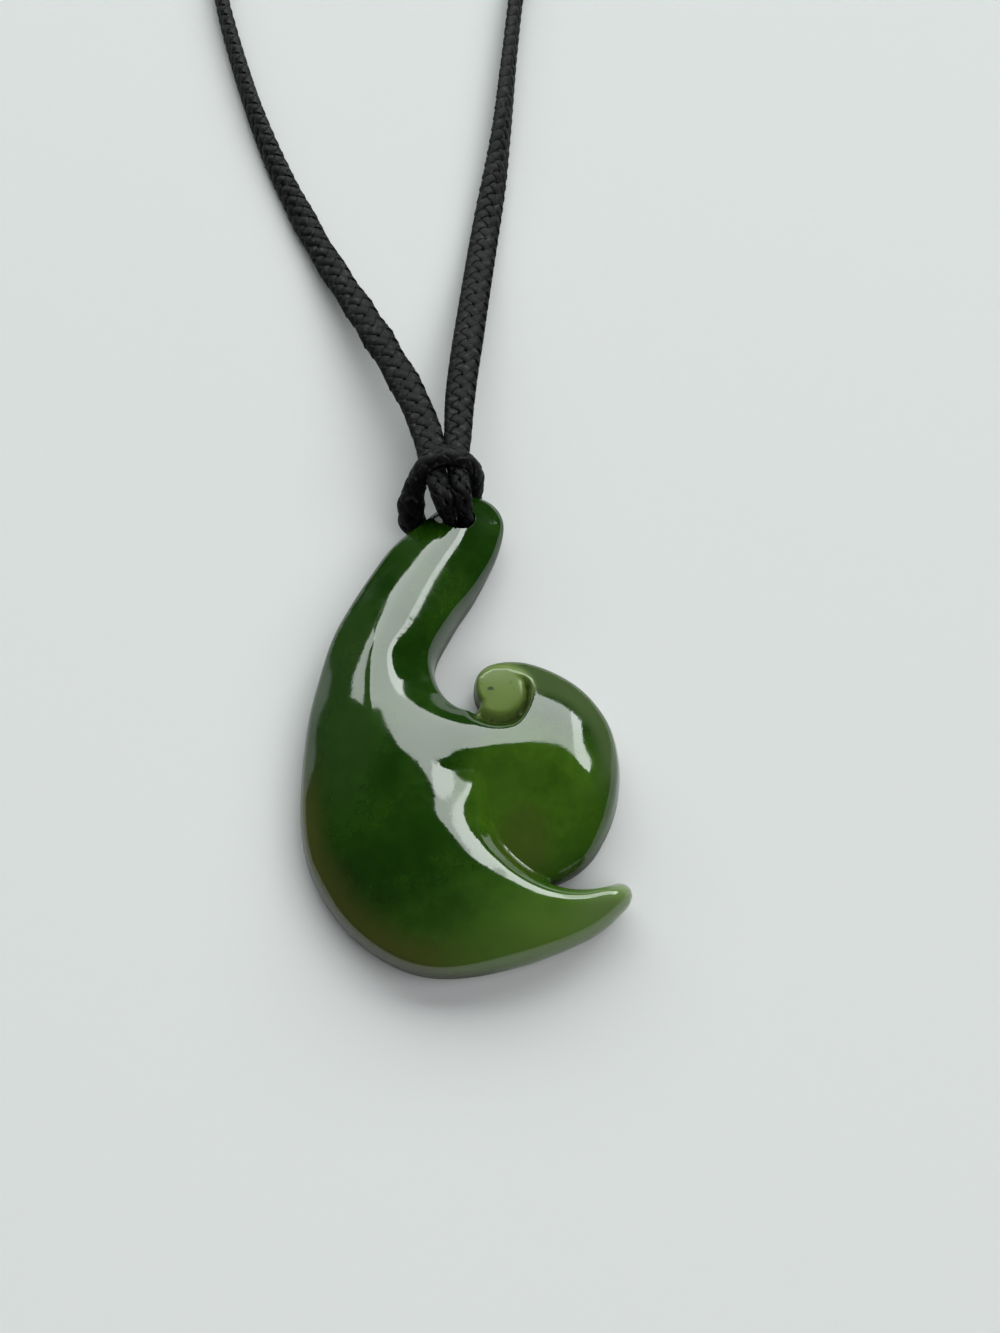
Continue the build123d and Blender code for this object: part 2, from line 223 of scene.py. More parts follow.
            (7.38, -4.12, 0, 1, -0.07), (7.89, -4.87, 0, 1, -0.07), (6.54, -3.63, 0, 1, -0.07),
            (5.26, -3.35, 0, 1, -0.07), (3.77, -3.33, 0, 1, -0.07), (2.29, -3.41, 0, 1, -0.07),
            (1.4, -2.5, 0, 1, -0.3), (2.8, -2.2, 0, 1, -0.28), (4, -1, 0, 1, -0.28)],
        "bandEdge": [
            (4.45, 0.9, 0.2, 0.98, -0.42), (5.34, 0.4, 0.48, 0.88, -0.42), (6.42, -0.31, 0.6, 0.8, -0.45),
            (7.27, -1.13, 0.75, 0.66, -0.5), (7.79, -2.06, 0.85, 0.5, -0.57), (8.2, -2.63, 0.85, 0.5, -0.57),
            (8.38, -3.77, 1, 0.15, -0.5), (8.56, -4.91, 1, 0.1, -0.48)],
        "dish": [
            (0.8, -5, 0, 1, 0.4), (2.3, -4.7, 0, 1, 0.35), (4, -4.6, 0, 1, 0.3), (6, -5, 0, 1, 0.25)],
        "arm": [
            (3.6, 3.1, 0.2, 0.98, -0.56), (5, 2.4, 0.45, 0.9, -0.58), (6.6, 1.6, 0.6, 0.8, -0.6),
            (8.2, 0.1, 0.75, 0.65, -0.66), (9.2, -1.6, 0.9, 0.4, -0.74), (9.5, -4, 1, 0, -0.82),
            (2.4, 3.2, 0, 1, -0.55), (5.9, 2.9, 0.5, 0.87, -0.58), (7.4, 1.7, 0.65, 0.76, -0.62),
            (8.8, 0, 0.78, 0.63, -0.68)]},
    # the spiral's sheet is tied to the hook's here
    "seam": [
        (-2.6, -0.8), (-2.6, -2), (-2.6, -3.2), (-2.6, -4.4), (-1.7, -1.2), (-1.7, -2.4), (-1.7, -3.6),
        (-1.7, -4.7), (-0.8, -0.6), (-0.8, -1.8), (-0.8, -2.9), (-0.8, -4)],
    "heightSlack": 25.0, "leanSlack": 3.0, "tiedSlack": 0.5,     # how far the front may ease off its rows
    "bulb": (2.35, 1.2), "bulbRadius": 1.8, "bulbTop": 3.1, "bulbTilt": (0.06, 0.05), "bulbDome": 0.02,
    "bulbRolloff": 0.22, "bulbRound": 0.4, "bulbSide": 9,
    # headings from the bulb in degrees: where its groove steepens, and where the arm begins and ends over it
    "steepens": (-75, -10), "armBegins": (10, 45), "armEnds": (178, 150),
    "grooveWide": 0.35, "grooveDeep": 0.45, "grooveNarrower": 0.20, "grooveSlope": 1.9, "slopeMore": 3.0,
    "grooveReach": (5.5, 4.2), "grooveEast": (-0.3, 0.6), "grooveBlend": 0.35,
    "armUnder": 0.05, "armOverlap": 0.15, "armSlope": 2.5,
    # west of here the spiral's sheet drops under the hook's, and north of here they are mixed
    "dropWest": (-1.6, -3.2), "dropDepth": 8, "mixEast": (-2.6, -0.8), "mixNorth": (-5.4, -4.6),
    "ridgeBlend": 0.10, "plateBlend": 0.08,
    "neckSide": 0.4, "neckFoot": 0.9, "neckAlone": 4.4,    # up here the hook's sheet makes the front alone
    "hole": (-0.6, 14.85), "holeRadius": 1.2, "holePoints": 56, "holeRings": (0.05, 0.12),
    "holeLevels": (0.33, 0.67),
    "rim": 1.30, "rimUpNeck": 0.30, "rimUpTip": 0.30,     # height of the widest line, and what it gains
    "neckLift": 1.40, "endLift": 0.06, "tipLift": 0.70,   # how far the back is relieved
    # where a change of the rim or of the relief begins, and where it is full
    "rimNorth": (-2, 11), "rimEast": (8.5, 10.5), "liftNorth": (8, 14), "endNorth": (15.5, 17.6),
    "liftEast": (9.2, 10.9), "tipSouth": (-9, -11),
    "leastFront": 0.15,                                   # the front stays this much over the rim
    "edgeRound": 0.42, "backRound": 0.55,
    "meshStep": 0.16, "backStep": 0.34, "edgeStep": 0.13,
    "edgeRings": (0.02, 0.06, 0.12, 0.2, 0.3, 0.42),
}


def allRows(groups):
    return [row for rows in groups.values() for row in rows]


def bendSheet(stone, heights, leans, tied=()):
    # the smoothest sheet near the heights and leans; slack lets it even them out
    heights = list(heights) + list(tied)
    places = np.array([h[:2] for h in heights] + [l[:2] for l in leans], float)
    ways = np.array([(0.0, 0.0)] * len(heights) + [l[2:4] for l in leans])
    lengths = np.linalg.norm(ways, axis=1)
    ways = ways / np.where(lengths > 0, lengths, 1)[:, None]
    wanted = np.array([h[2] for h in heights] + [l[4] for l in leans])
    leaning = lengths > 0

    def pull(paintedGlints, spotWays, spotLeans):
        # the fifth power of the distance, and its slopes
        apart = paintedGlints[:, None] - places[None]
        r = np.sqrt((apart ** 2).sum(2))
        here = (apart * spotWays[:, None]).sum(2)
        there = (apart * ways[None]).sum(2)
        both = 15 * r * here * there + 5 * r ** 3 * (spotWays @ ways.T)
        return np.where(spotLeans[:, None], np.where(leaning[None], both, -5 * r ** 3 * here),
                        np.where(leaning[None], 5 * r ** 3 * there, -r ** 5))

    def plain(paintedGlints):
        x, y = paintedGlints.T
        return np.column_stack([np.ones(len(x)), x, y, x * x, x * y, y * y])

    def tilted(paintedGlints, spotWays):
        (x, y), (dx, dy) = paintedGlints.T, spotWays.T
        return np.column_stack([0 * x, dx, dy, 2 * x * dx, x * dy + y * dx, 2 * y * dy])
    n = len(places)
    flat = np.where(leaning[:, None], tilted(places, ways), plain(places))
    system = np.zeros((n + 6, n + 6))
    give = np.where(leaning, stone["leanSlack"], stone["heightSlack"])
    give[len(heights) - len(tied):len(heights)] = stone["tiedSlack"]
    system[:n, :n] = pull(places, ways, leaning) + np.diag(give)
    system[:n, n:], system[n:, :n] = flat, flat.T
    weights = np.linalg.solve(system, np.concatenate([wanted, np.zeros(6)]))

    def height(paintedGlints):
        out = np.empty(len(paintedGlints))
        for first in range(0, len(paintedGlints), 4000):
            part = paintedGlints[first:first + 4000]
            block = pull(part, np.zeros_like(part), np.zeros(len(part), bool))
            out[first:first + 4000] = block @ weights[:n] + plain(part) @ weights[n:]
        return out
    return height


def frontHeights(stone):
    # the front's height anywhere on the stone, before its edges are rounded
    sharedHeights, sharedLeans = allRows(stone["sharedHeights"]), allRows(stone["sharedLeans"])
    hookSheet = bendSheet(stone, sharedHeights + allRows(stone["hookHeights"]),
                          sharedLeans + allRows(stone["hookLeans"]))
    seam = np.array(stone["seam"])
    tied = [(x, y, z) for (x, y), z in zip(seam, hookSheet(seam))]
    spiralSheet = bendSheet(stone, sharedHeights + allRows(stone["spiralHeights"]),
                            sharedLeans + allRows(stone["spiralLeans"]), tied)
    (bx, by), radius, top = stone["bulb"], stone["bulbRadius"], stone["bulbTop"]
    tiltX, tiltY = stone["bulbTilt"]

    def height(places):
        x, y = places.T
        hook, spiral = hookSheet(places), spiralSheet(places)
        away = np.hypot(x - bx, y - by)
        heading = np.degrees(np.arctan2(y - by, x - bx))
        east = easeBetween(*stone["steepens"], heading)
        foot = radius + stone["grooveWide"] - stone["grooveNarrower"] * east
        slope = stone["grooveSlope"] + stone["slopeMore"] * east
        wall = top - stone["grooveDeep"] + slope * (away - foot)
        face = top + tiltX * (x - bx) + tiltY * (y - by) - stone["bulbDome"] * away ** 2
        above = easeBetween(*stone["armBegins"], heading) * easeBetween(*stone["armEnds"], heading)
        past = np.maximum(0, away - radius + stone["armOverlap"])
        wall = wall * (1 - above) + (face - stone["armUnder"] + stone["armSlope"] * past) * above
        near = easeBetween(*stone["grooveReach"], away) * easeBetween(*stone["grooveEast"], x)
        spiral = spiral * (1 - near) + softMin(spiral, wall, stone["grooveBlend"]) * near
        low = spiral - stone["dropDepth"] * easeBetween(*stone["dropWest"], x)
        share = easeBetween(*stone["mixEast"], x)
        mixed = hook * (1 - share) + spiral * share
        north = easeBetween(*stone["mixNorth"], y)
        front = softMax(hook, low, stone["ridgeBlend"]) * (1 - north) + mixed * north
        edge = easeBetween(radius - stone["bulbRound"], radius, away)
        rolloff = stone["bulbRolloff"] * (1 - above) * edge
        plate = face - rolloff - stone["bulbSide"] * np.maximum(0, away - radius)
        neck = ((y > stone["neckFoot"]) & (x < stone["neckSide"])) | (y > stone["neckAlone"])
        return np.where(neck, hook, softMax(front, plate, stone["plateBlend"]))
    return height


def runOf(line):
    return np.concatenate([[0], np.cumsum(np.linalg.norm(np.diff(line, axis=0), axis=1))])


def evenly(line, step):
    run = runOf(line)
    marks = np.linspace(0, run[-1], max(3, int(round(run[-1] / step)) + 1))
    return np.column_stack([np.interp(marks, run, line[:, k]) for k in range(line.shape[1])])


def ringAt(centre, radius, turn):
    return np.column_stack([centre[0] + radius * np.cos(turn), centre[1] + radius * np.sin(turn)])


def edgeCurve(share):
    # climbs steeply at the rim and levels off
    return (1 - (1 - share) ** 2.1) ** 0.52


def insideLoop(places, loop):
    x, y = places[:, 0][:, None], places[:, 1][:, None]
    ax, ay = loop[:, 0][None], loop[:, 1][None]
    bx, by = np.roll(loop[:, 0], -1)[None], np.roll(loop[:, 1], -1)[None]
    crosses = ((ay > y) != (by > y)) & (x < (bx - ax) * (y - ay) / (by - ay + 1e-12) + ax)
    return crosses.sum(1) % 2 == 1


def stoneSheet(stone, loop, holeLoop, spacing, closed):
    # one side of the stone seen from above: rings near the edges and an even spread within
    low, high = loop.min(0), loop.max(0)
    rows = []
    rise = spacing * 0.866      # rows of even triangles
    for k, y in enumerate(np.arange(low[1], high[1], rise)):
        xs = np.arange(low[0] + (k % 2) * spacing / 2, high[0], spacing)
        rows.append(np.column_stack([xs, np.full(len(xs), y)]))
    spread = np.vstack(rows)
    spread = spread[insideLoop(spread, loop)]
    edgeGap = nearLine(spread, closed)
    hx, hy = stone["hole"]
    radius = stone["holeRadius"]
    holeGap = np.hypot(spread[:, 0] - hx, spread[:, 1] - hy) - radius
    clearOfEdge = edgeGap > stone["edgeRings"][-1] + 0.5 * spacing
    spread = spread[clearOfEdge & (holeGap > stone["holeRings"][-1] + 0.5 * spacing)]
    ahead, behind = np.roll(loop, -1, axis=0), np.roll(loop, 1, axis=0)
    along = ahead - behind
    inward = np.column_stack([-along[:, 1], along[:, 0]]) / np.linalg.norm(along, axis=1)[:, None]
    rings = []
    for inset in stone["edgeRings"]:
        ring = loop + inward * inset
        ring = ring[insideLoop(ring, loop)]
        rings.append(ring[nearLine(ring, closed) > 0.92 * inset])
    turn = np.linspace(0, 2 * np.pi, len(holeLoop), endpoint=False)
    for inset in stone["holeRings"]:
        rings.append(ringAt(stone["hole"], radius + inset, turn))
    extra = np.vstack(rings + [spread])
    points = np.vstack([loop, holeLoop, extra])
    n, h = len(loop), len(holeLoop)
    edges = [(k, (k + 1) % n) for k in range(n)] + [(n + k, n + (k + 1) % h) for k in range(h)]
    verts, _, faces, origins, _, _ = delaunay_2d_cdt([Vector(p) for p in points], edges, [], 0, 1e-6)
    verts = np.array([tuple(v) for v in verts])
    faces = np.array([tuple(f) for f in faces])
    middles = verts[faces].mean(1)
    outsideHole = np.hypot(middles[:, 0] - hx, middles[:, 1] - hy) > radius * 0.995
    keep = insideLoop(middles, loop) & outsideHole
    names = {}
    for k, origin in enumerate(origins):
        for o in origin:
            names[o] = k
    border = [names[k] for k in range(n + h)]
    return verts, faces[keep], border


def sideLevels(stone, frontAt, closed, places):
    # heights of the front and of the back, and the distance in from the outline
    x, y = places.T
    gap = nearLine(places, closed)
    nearTip = easeBetween(*stone["tipSouth"], y)
    rim = stone["rim"] + stone["rimUpNeck"] * easeBetween(*stone["rimNorth"], y)
    rim = rim + stone["rimUpTip"] * easeBetween(*stone["rimEast"], x) * nearTip
    lift = stone["neckLift"] * easeBetween(*stone["liftNorth"], y)
    lift = lift + stone["endLift"] * easeBetween(*stone["endNorth"], y)
    lift = lift + stone["tipLift"] * easeBetween(*stone["liftEast"], x) * nearTip
    front = np.maximum(frontAt(places), rim + stone["leastFront"])
    z = rim + (front - rim) * edgeCurve(np.clip(gap / stone["edgeRound"], 0, 1))
    under = lift + (rim - lift) * (1 - edgeCurve(np.clip(gap / stone["backRound"], 0, 1)))
    return z, under, gap


def makeStone(stone):
    frontAt = frontHeights(stone)
    parts = [throughPoints(stone[k], 0.04) for k in ("outerEdge", "tipAndThroat", "spiralEdge", "neckEdge")]
    loop = np.vstack([evenly(p, stone["edgeStep"])[:-1] for p in parts])
    closed = np.vstack([loop, loop[:1]])
    turn = np.linspace(0, 2 * np.pi, stone["holePoints"], endpoint=False)
    holeLoop = ringAt(stone["hole"], stone["holeRadius"], turn)
    topPlan, topFaces, topBorder = stoneSheet(stone, loop, holeLoop, stone["meshStep"], closed)
    backPlan, backFaces, backBorder = stoneSheet(stone, loop, holeLoop, stone["backStep"], closed)
    zTop, _, topGap = sideLevels(stone, frontAt, closed, topPlan)
    _, zBack, backGap = sideLevels(stone, frontAt, closed, backPlan)
    n = len(loop)
    verts = np.vstack([np.column_stack([topPlan, zTop]), np.column_stack([backPlan, zBack])])
    shift = len(topPlan)
    faces = [tuple(f) for f in topFaces] + [tuple(int(v) + shift for v in f[::-1]) for f in backFaces]
    remap = {shift + b: t for t, b in zip(topBorder[:n], backBorder[:n])}    # the two sides share the rim
    faces = [tuple(remap.get(int(v), int(v)) for v in f) for f in faces]
    holeTop, holeBack = topBorder[n:], [shift + b for b in backBorder[n:]]
    h = len(holeTop)
    inner = []
    for level in stone["holeLevels"]:
        first = len(verts)
        a, b = verts[holeTop], verts[holeBack]
        verts = np.vstack([verts, a + (b - a) * level])
        inner.append([first + k for k in range(h)])
    bands = [holeTop, *inner, holeBack]
    for upper, lower in zip(bands, bands[1:]):
        for k in range(h):
            faces.append((upper[k], upper[(k + 1) % h], lower[(k + 1) % h], lower[k]))
    inHole = np.full(len(verts) - len(topGap) - len(backGap), 1.0)
    inset = np.concatenate([topGap, backGap, inHole])
    used = sorted({v for f in faces for v in f})
    fresh = {v: k for k, v in enumerate(used)}
    mesh = bpy.data.meshes.new("fishHookStone")
    mesh.from_pydata([tuple(verts[v] * mm) for v in used], [], [tuple(fresh[v] for v in f) for f in faces])
    mesh.attributes.new("inset", "FLOAT", "POINT").data.foreach_set("value", inset[used].astype(np.float32))
    mesh.polygons.foreach_set("use_smooth", [True] * len(mesh.polygons))
    mesh.validate()
    mesh.update()
    drilled = {fresh[v] for v in holeTop} | {fresh[v] for v in holeBack}
    for edge in mesh.edges:       # the drill leaves a crisp border
        if edge.vertices[0] in drilled and edge.vertices[1] in drilled:
            edge.use_edge_sharp = True
    piece = bpy.data.objects.new("fishHookStone", mesh)
    bpy.context.collection.objects.link(piece)
    return piece


braidLook = {
    "width": 2.2, "thickness": 1.35,
    "pitch": 5.4,            # one strand's full turn
    "pairs": 4,              # strands that run each way round
    "strandWide": 0.92, "strandThick": 0.30, "ripple": 0.075,
    "ringsPerPitch": 24, "sides": 8,
    "routeHeight": 0.95,     # of the routes, where they lie on the ground
    "groundGap": 0.03,
    "settles": (20, 35),     # this far along, a cord comes down to the ground
    "rises": (9, 1),         # and this far before its end it rises again
}

# routes in millimetres: the solids' routes with a few points moved by less than a millimetre,
# and each strand's way up out of the hole before its cord
cordRoutes = {
    "left": [(-2.8, 21, 4.25), (-4.2, 25.4, 3.7), (-7.9, 33.4, 2.35), (-12.9, 43, 1.2),
             (-17.9, 54.2, 0.95), (-21.5, 65.2, 0.95), (-24.7, 77, 0.95), (-25.7, 91, 0.95),
             (-24.9, 109, 0.95), (-23.4, 130, 0.95), (-23.9, 152, 0.95), (-24.1, 168, 0.95),
             (-23.4, 181, 0.95)],
    "right": [(-0.72, 21, 4.25), (-0.65, 25.6, 3.7), (0.1, 34, 2.3), (1, 43.5, 1.2),
              (2.35, 54, 0.95), (3.15, 65, 0.95), (4.1, 77, 0.95), (6.3, 92, 0.95), (7.7, 111, 0.95),
              (7.2, 132, 0.95), (7.7, 152, 0.95), (7.8, 168, 0.95), (7.1, 181, 0.95)],
    "leftStart": [(-1.22, 14.95, 1.6), (-1.28, 14.8, 3.6), (-1.54, 14.95, 5.1), (-2.15, 16.8, 5.35),
                  (-2.48, 19, 4.8)],
    "rightStart": [(-0.1, 15, 1.6), (-0.1, 14.85, 3.6), (-0.18, 15, 5.1), (-0.6, 16.8, 5.35),
                   (-0.78, 19, 4.8)],
    "wrap": [(-1.5, 14.85, 0.7), (-3.4, 15, 0.7), (-4.1, 15.5, 1.25), (-4.12, 16.3, 3),
             (-3.45, 17.35, 4.8), (-2.55, 18.25, 5.7), (-1.2, 18.45, 5.85), (0, 18.3, 5.25),
             (0.55, 18.25, 3.8), (0.5, 18.25, 2), (0.35, 17.9, 0.9), (0, 16.8, 0.7), (-0.38, 15.6, 0.7)],
    "closure": [(-23.21, 184.5, 0.95), (-22.3, 191.6, 0.95), (-18.9, 197.8, 0.95), (-12.6, 201.7, 0.95),
                (-4.5, 201.9, 0.95), (2, 198.4, 0.95), (5.8, 191.9, 0.95), (6.91, 184.5, 0.95)],
}


def splineThrough(name, points):
    # the route's own smooth line, read back from a spline in metres
    curve = bpy.data.curves.new(name, "CURVE")
    curve.dimensions = "3D"
    curve.resolution_u = 16
    spline = curve.splines.new("NURBS")
    spline.points.add(len(points) - 1)
    for knot, p in zip(spline.points, points):
        knot.co = (p[0] * mm, p[1] * mm, p[2] * mm, 1)
    spline.order_u = 3
    spline.use_endpoint_u = True
    holder = bpy.data.objects.new(name, curve)
    bpy.context.collection.objects.link(holder)
    line = bpy.data.meshes.new_from_object(holder)
    places = np.array([tuple(v.co) for v in line.vertices]) / mm
    bpy.data.objects.remove(holder)
    bpy.data.curves.remove(curve)
    bpy.data.meshes.remove(line)
    return places


def unitRows(a):
    return a / np.maximum(np.linalg.norm(a, axis=1), 1e-9)[:, None]


def alongRun(value, marks):
    # a number that holds all along, or (distance, value) rows
    return np.full(len(marks), float(value)) if np.isscalar(value) else np.interp(marks, *zip(*value))


def braidAlong(line, widths, heights, rolls=0, look=braidLook, up=None, step=None, endHeight=None):
    # with an end height the braid lies on the ground, at any roll, and rises to that height at its end
    run = runOf(line)
    count = int(run[-1] / (step or look["pitch"] / look["ringsPerPitch"]))
    marks = np.linspace(0, run[-1], count + 1)
    centre = np.column_stack([np.interp(marks, run, line[:, k]) for k in range(3)])
    for _ in range(2):      # the read-back line has short straight bits
        centre[1:-1] = (centre[:-2] + 2 * centre[1:-1] + centre[2:]) / 4
    along = unitRows(np.gradient(centre, axis=0))
    upward = np.tile([0.0, 0.0, 1.0], (len(centre), 1)) if up is None else up(centre)
    across = unitRows(np.cross(along, upward))
    upward = np.cross(across, along)
    roll = np.radians(alongRun(rolls, marks))[:, None]
    wide = across * np.cos(roll) + upward * np.sin(roll)
    high = upward * np.cos(roll) - across * np.sin(roll)
    width = alongRun(widths, marks)
    height = alongRun(heights, marks)
    if endHeight is not None:
        rest = np.hypot(width / 2 * np.sin(roll[:, 0]), height / 2 * np.cos(roll[:, 0])) + look["groundGap"]
        centre[:, 2] += (rest - look["routeHeight"]) * easeBetween(*look["settles"], marks)
        centre[:, 2] += (endHeight - rest) * easeBetween(*(run[-1] - np.array(look["rises"])), marks)
    thin = look["strandThick"] * height / look["thickness"]
    ripple = look["ripple"] * height / look["thickness"]
    a = width / 2 - thin / 2 - ripple
    b = height / 2 - thin / 2 - ripple
    strandWide = look["strandWide"] * width / look["width"]
    verts, faces = [], []
    turn = np.linspace(0, 2 * np.pi, look["sides"], endpoint=False)
    flat = np.cos(turn)[None, :, None] * strandWide[:, None, None] / 2
    tall = np.sin(turn)[None, :, None] * thin[:, None, None] / 2
    n, sides = len(centre), look["sides"]
    for way in (1, -1):
        for k in range(look["pairs"]):
            angle = way * 2 * np.pi * marks / look["pitch"] + 2 * np.pi * k / look["pairs"]
            c, s = np.cos(angle), np.sin(angle)
            outX, outY = c / a, s / b
            size = np.hypot(outX, outY)
            outX, outY = outX / size, outY / size
            lift = way * ripple * np.cos(look["pairs"] * angle)
            place = centre + wide * (a * c + lift * outX)[:, None] + high * (b * s + lift * outY)[:, None]
            outward = wide * outX[:, None] + high * outY[:, None]
            heading = unitRows(np.gradient(place, axis=0))
            sideways = unitRows(np.cross(heading, outward))
            outward = np.cross(sideways, heading)
            rings = place[:, None] + sideways[:, None] * flat + outward[:, None] * tall
            first = sum(len(v) for v in verts)
            verts.append(rings.reshape(-1, 3))
            for i in range(n - 1):
                lower, upper = first + i * sides, first + (i + 1) * sides
                for j in range(sides):
                    m = (j + 1) % sides
                    faces.append((lower + j, lower + m, upper + m, upper + j))
            faces.append(tuple(first + j for j in range(sides))[::-1])
            faces.append(tuple(first + (n - 1) * sides + j for j in range(sides)))
    return np.vstack(verts), faces, centre


def pieceFrom(name, parts):
    verts, faces, shift = [], [], 0
    for v, f in parts:
        verts.append(v)
        faces += [tuple(i + shift for i in face) for face in f]
        shift += len(v)
    mesh = bpy.data.meshes.new(name)
    mesh.from_pydata((np.vstack(verts) * mm).tolist(), [], faces)
    mesh.polygons.foreach_set("use_smooth", [True] * len(mesh.polygons))
    mesh.update()
    piece = bpy.data.objects.new(name, mesh)
    bpy.context.collection.objects.link(piece)
    return piece


# (distance, value) rows along each cord: the hole squeezes it, and past the hitch it turns on its edge
cordShapes = {
    "left": {
        "widths": [(0, 1.15), (1.6, 1.25), (2.6, 1.55), (6, 1.7), (8, 2.2), (11, 2.35), (13.5, 2.3),
                   (16, 2.5), (18.7, 2.25), (21.4, 2.55), (23.4, 2.25), (25.3, 2.45), (27.9, 2.15),
                   (30.4, 2.35), (33.6, 2.1), (36.9, 2.3), (40, 2.1), (400, 2.15)],
        "heights": [(0, 1.05), (3, 1.05), (6, 1.2), (9, 1.35), (400, 1.35)],
        "rolls": [(0, 0), (10, 0), (28, 8), (42, 38), (52, 62), (75, 80), (95, 60), (120, 10), (400, 0)]},
    "right": {
        "widths": [(0, 1.2), (3, 1.32), (6, 1.6), (9, 2.05), (14, 2.3), (20, 2.4), (36, 2.35), (60, 2.15),
                   (400, 2.15)],
        "heights": [(0, 1.05), (3, 1.05), (6, 1.2), (9, 1.35), (400, 1.35)],
        "rolls": [(0, 0), (10, 0), (28, -6), (36, -28), (44, -58), (55, -75), (75, -80), (95, -60),
                  (120, -10), (400, 0)]},
}


def makeCords():
    made = {}
    for side, shape in cordShapes.items():
        line = splineThrough(side, cordRoutes[side + "Start"] + cordRoutes[side])
        verts, faces, centre = braidAlong(line, shape["widths"], shape["heights"], shape["rolls"],
                                          endHeight=closureShape["knotCentre"])
        piece = pieceFrom(f"{side}Cord", [(verts, faces)])
        made[side] = (piece, centre)
    return made


hitchShape = {
    "middle": (-1.5, 16.6, 2.9),      # the wrap's flat side faces away from here
    "widths": [(0, 1.45), (2, 1.70), (4, 1.90), (6, 1.70), (8, 1.95), (11, 1.95), (13, 1.65), (15, 1.45),
               (99, 1.4)],
    "heights": [(0, 1.2), (2, 1.45), (3.2, 2.2), (4.5, 2.1), (6, 1.65), (8, 1.4), (12, 1.45), (15, 1.2),
                (99, 1.2)],
    "tight": {"pitch": 6.0, "strandWide": 1.10, "ripple": 0.045, "strandThick": 0.40},
    "step": 0.14,
}


def makeHitch(shape):
    line = splineThrough("wrap", cordRoutes["wrap"])

    def outward(centre):
        return unitRows(centre - np.array(shape["middle"]))
    tight = {**braidLook, **shape["tight"]}
    verts, faces, _ = braidAlong(line, shape["widths"], shape["heights"], look=tight, up=outward,
                                 step=shape["step"])
    return pieceFrom("cowHitch", [(verts, faces)])


closureShape = {
    "strandWidth": 1.85, "strandHeight": 1.35, "aside": 0.97,    # the two strands lie this far off the middle
    "groundHeight": 0.71, "rises": (2, 11),                      # within this far of a knot
    "knotCentre": 1.95, "knotTurns": 4.0, "knotLength": 7.0, "knotEnd": 0.7,
    "knotWide": 2.32, "knotHigh": 1.42,                          # half sizes of the turns' middle line
    "turnWidth": 1.42, "turnHeight": 0.98, "turnPoints": 260,
}


def makeClosure(shape):
    parts = []
    base = splineThrough("closure", cordRoutes["closure"])
    sideways = unitRows(np.cross(unitRows(np.gradient(base, axis=0)), [0, 0, 1.0]))
    run = runOf(base)
    nearKnot = 1 - easeBetween(*shape["rises"], np.minimum(run, run[-1] - run))
    base[:, 2] = shape["groundHeight"] + (shape["knotCentre"] - shape["groundHeight"]) * nearKnot
    for side in (-1, 1):
        verts, faces, _ = braidAlong(base + sideways * side * shape["aside"], shape["strandWidth"],
                                     shape["strandHeight"])
        parts.append((verts, faces))
    for route in ("left", "right"):
        end, before = np.array(cordRoutes[route][-1]), np.array(cordRoutes[route][-2])
        along = (end - before) / np.linalg.norm(end - before)
        across = np.cross(along, [0, 0, 1.0])
        t = np.linspace(0, 1, shape["turnPoints"])
        angle = 2 * np.pi * shape["knotTurns"] * t
        start = np.array([end[0], end[1], shape["knotCentre"]])
        reach = shape["knotEnd"] + (shape["knotLength"] - 2 * shape["knotEnd"]) * t
        line = (start + along * reach[:, None] + across * (shape["knotWide"] * np.cos(angle))[:, None]
                + np.array([0, 0, 1.0]) * (shape["knotHigh"] * np.sin(angle))[:, None])

        def outward(centre, start=start, along=along):
            away = centre - start
            return unitRows(away - along * (away @ along)[:, None])
        verts, faces, _ = braidAlong(line, shape["turnWidth"], shape["turnHeight"], up=outward)
        parts.append((verts, faces))
    return pieceFrom("slidingKnots", parts)


class Shade:
    # one output socket, so that node sums read like sums
    def __init__(self, tree, out):
        self.tree, self.out = tree, out

    @staticmethod
    def feed(tree, slot, value):
        if isinstance(value, Shade):
            tree.links.new(value.out, slot)
        else:
            slot.default_value = value

    def work(self, operation, *values):
        node = self.tree.nodes.new("ShaderNodeMath")
        node.operation = operation
        for slot, value in zip(node.inputs, values):
            Shade.feed(self.tree, slot, value)
        return Shade(self.tree, node.outputs[0])

    def __add__(self, other): return self.work("ADD", self, other)
    __radd__ = __add__
    def __mul__(self, other): return self.work("MULTIPLY", self, other)
    __rmul__ = __mul__
    def __sub__(self, other): return self.work("SUBTRACT", self, other)
    def __rsub__(self, other): return self.work("SUBTRACT", other, self)
    def __truediv__(self, other): return self.work("DIVIDE", self, other)
    def __pow__(self, other): return self.work("POWER", self, other)

    def ease(self, low, high):
        node = self.tree.nodes.new("ShaderNodeMapRange")
        node.interpolation_type = "SMOOTHSTEP"
        Shade.feed(self.tree, node.inputs["Value"], self)
        node.inputs["From Min"].default_value = low
        node.inputs["From Max"].default_value = high
        return Shade(self.tree, node.outputs["Result"])


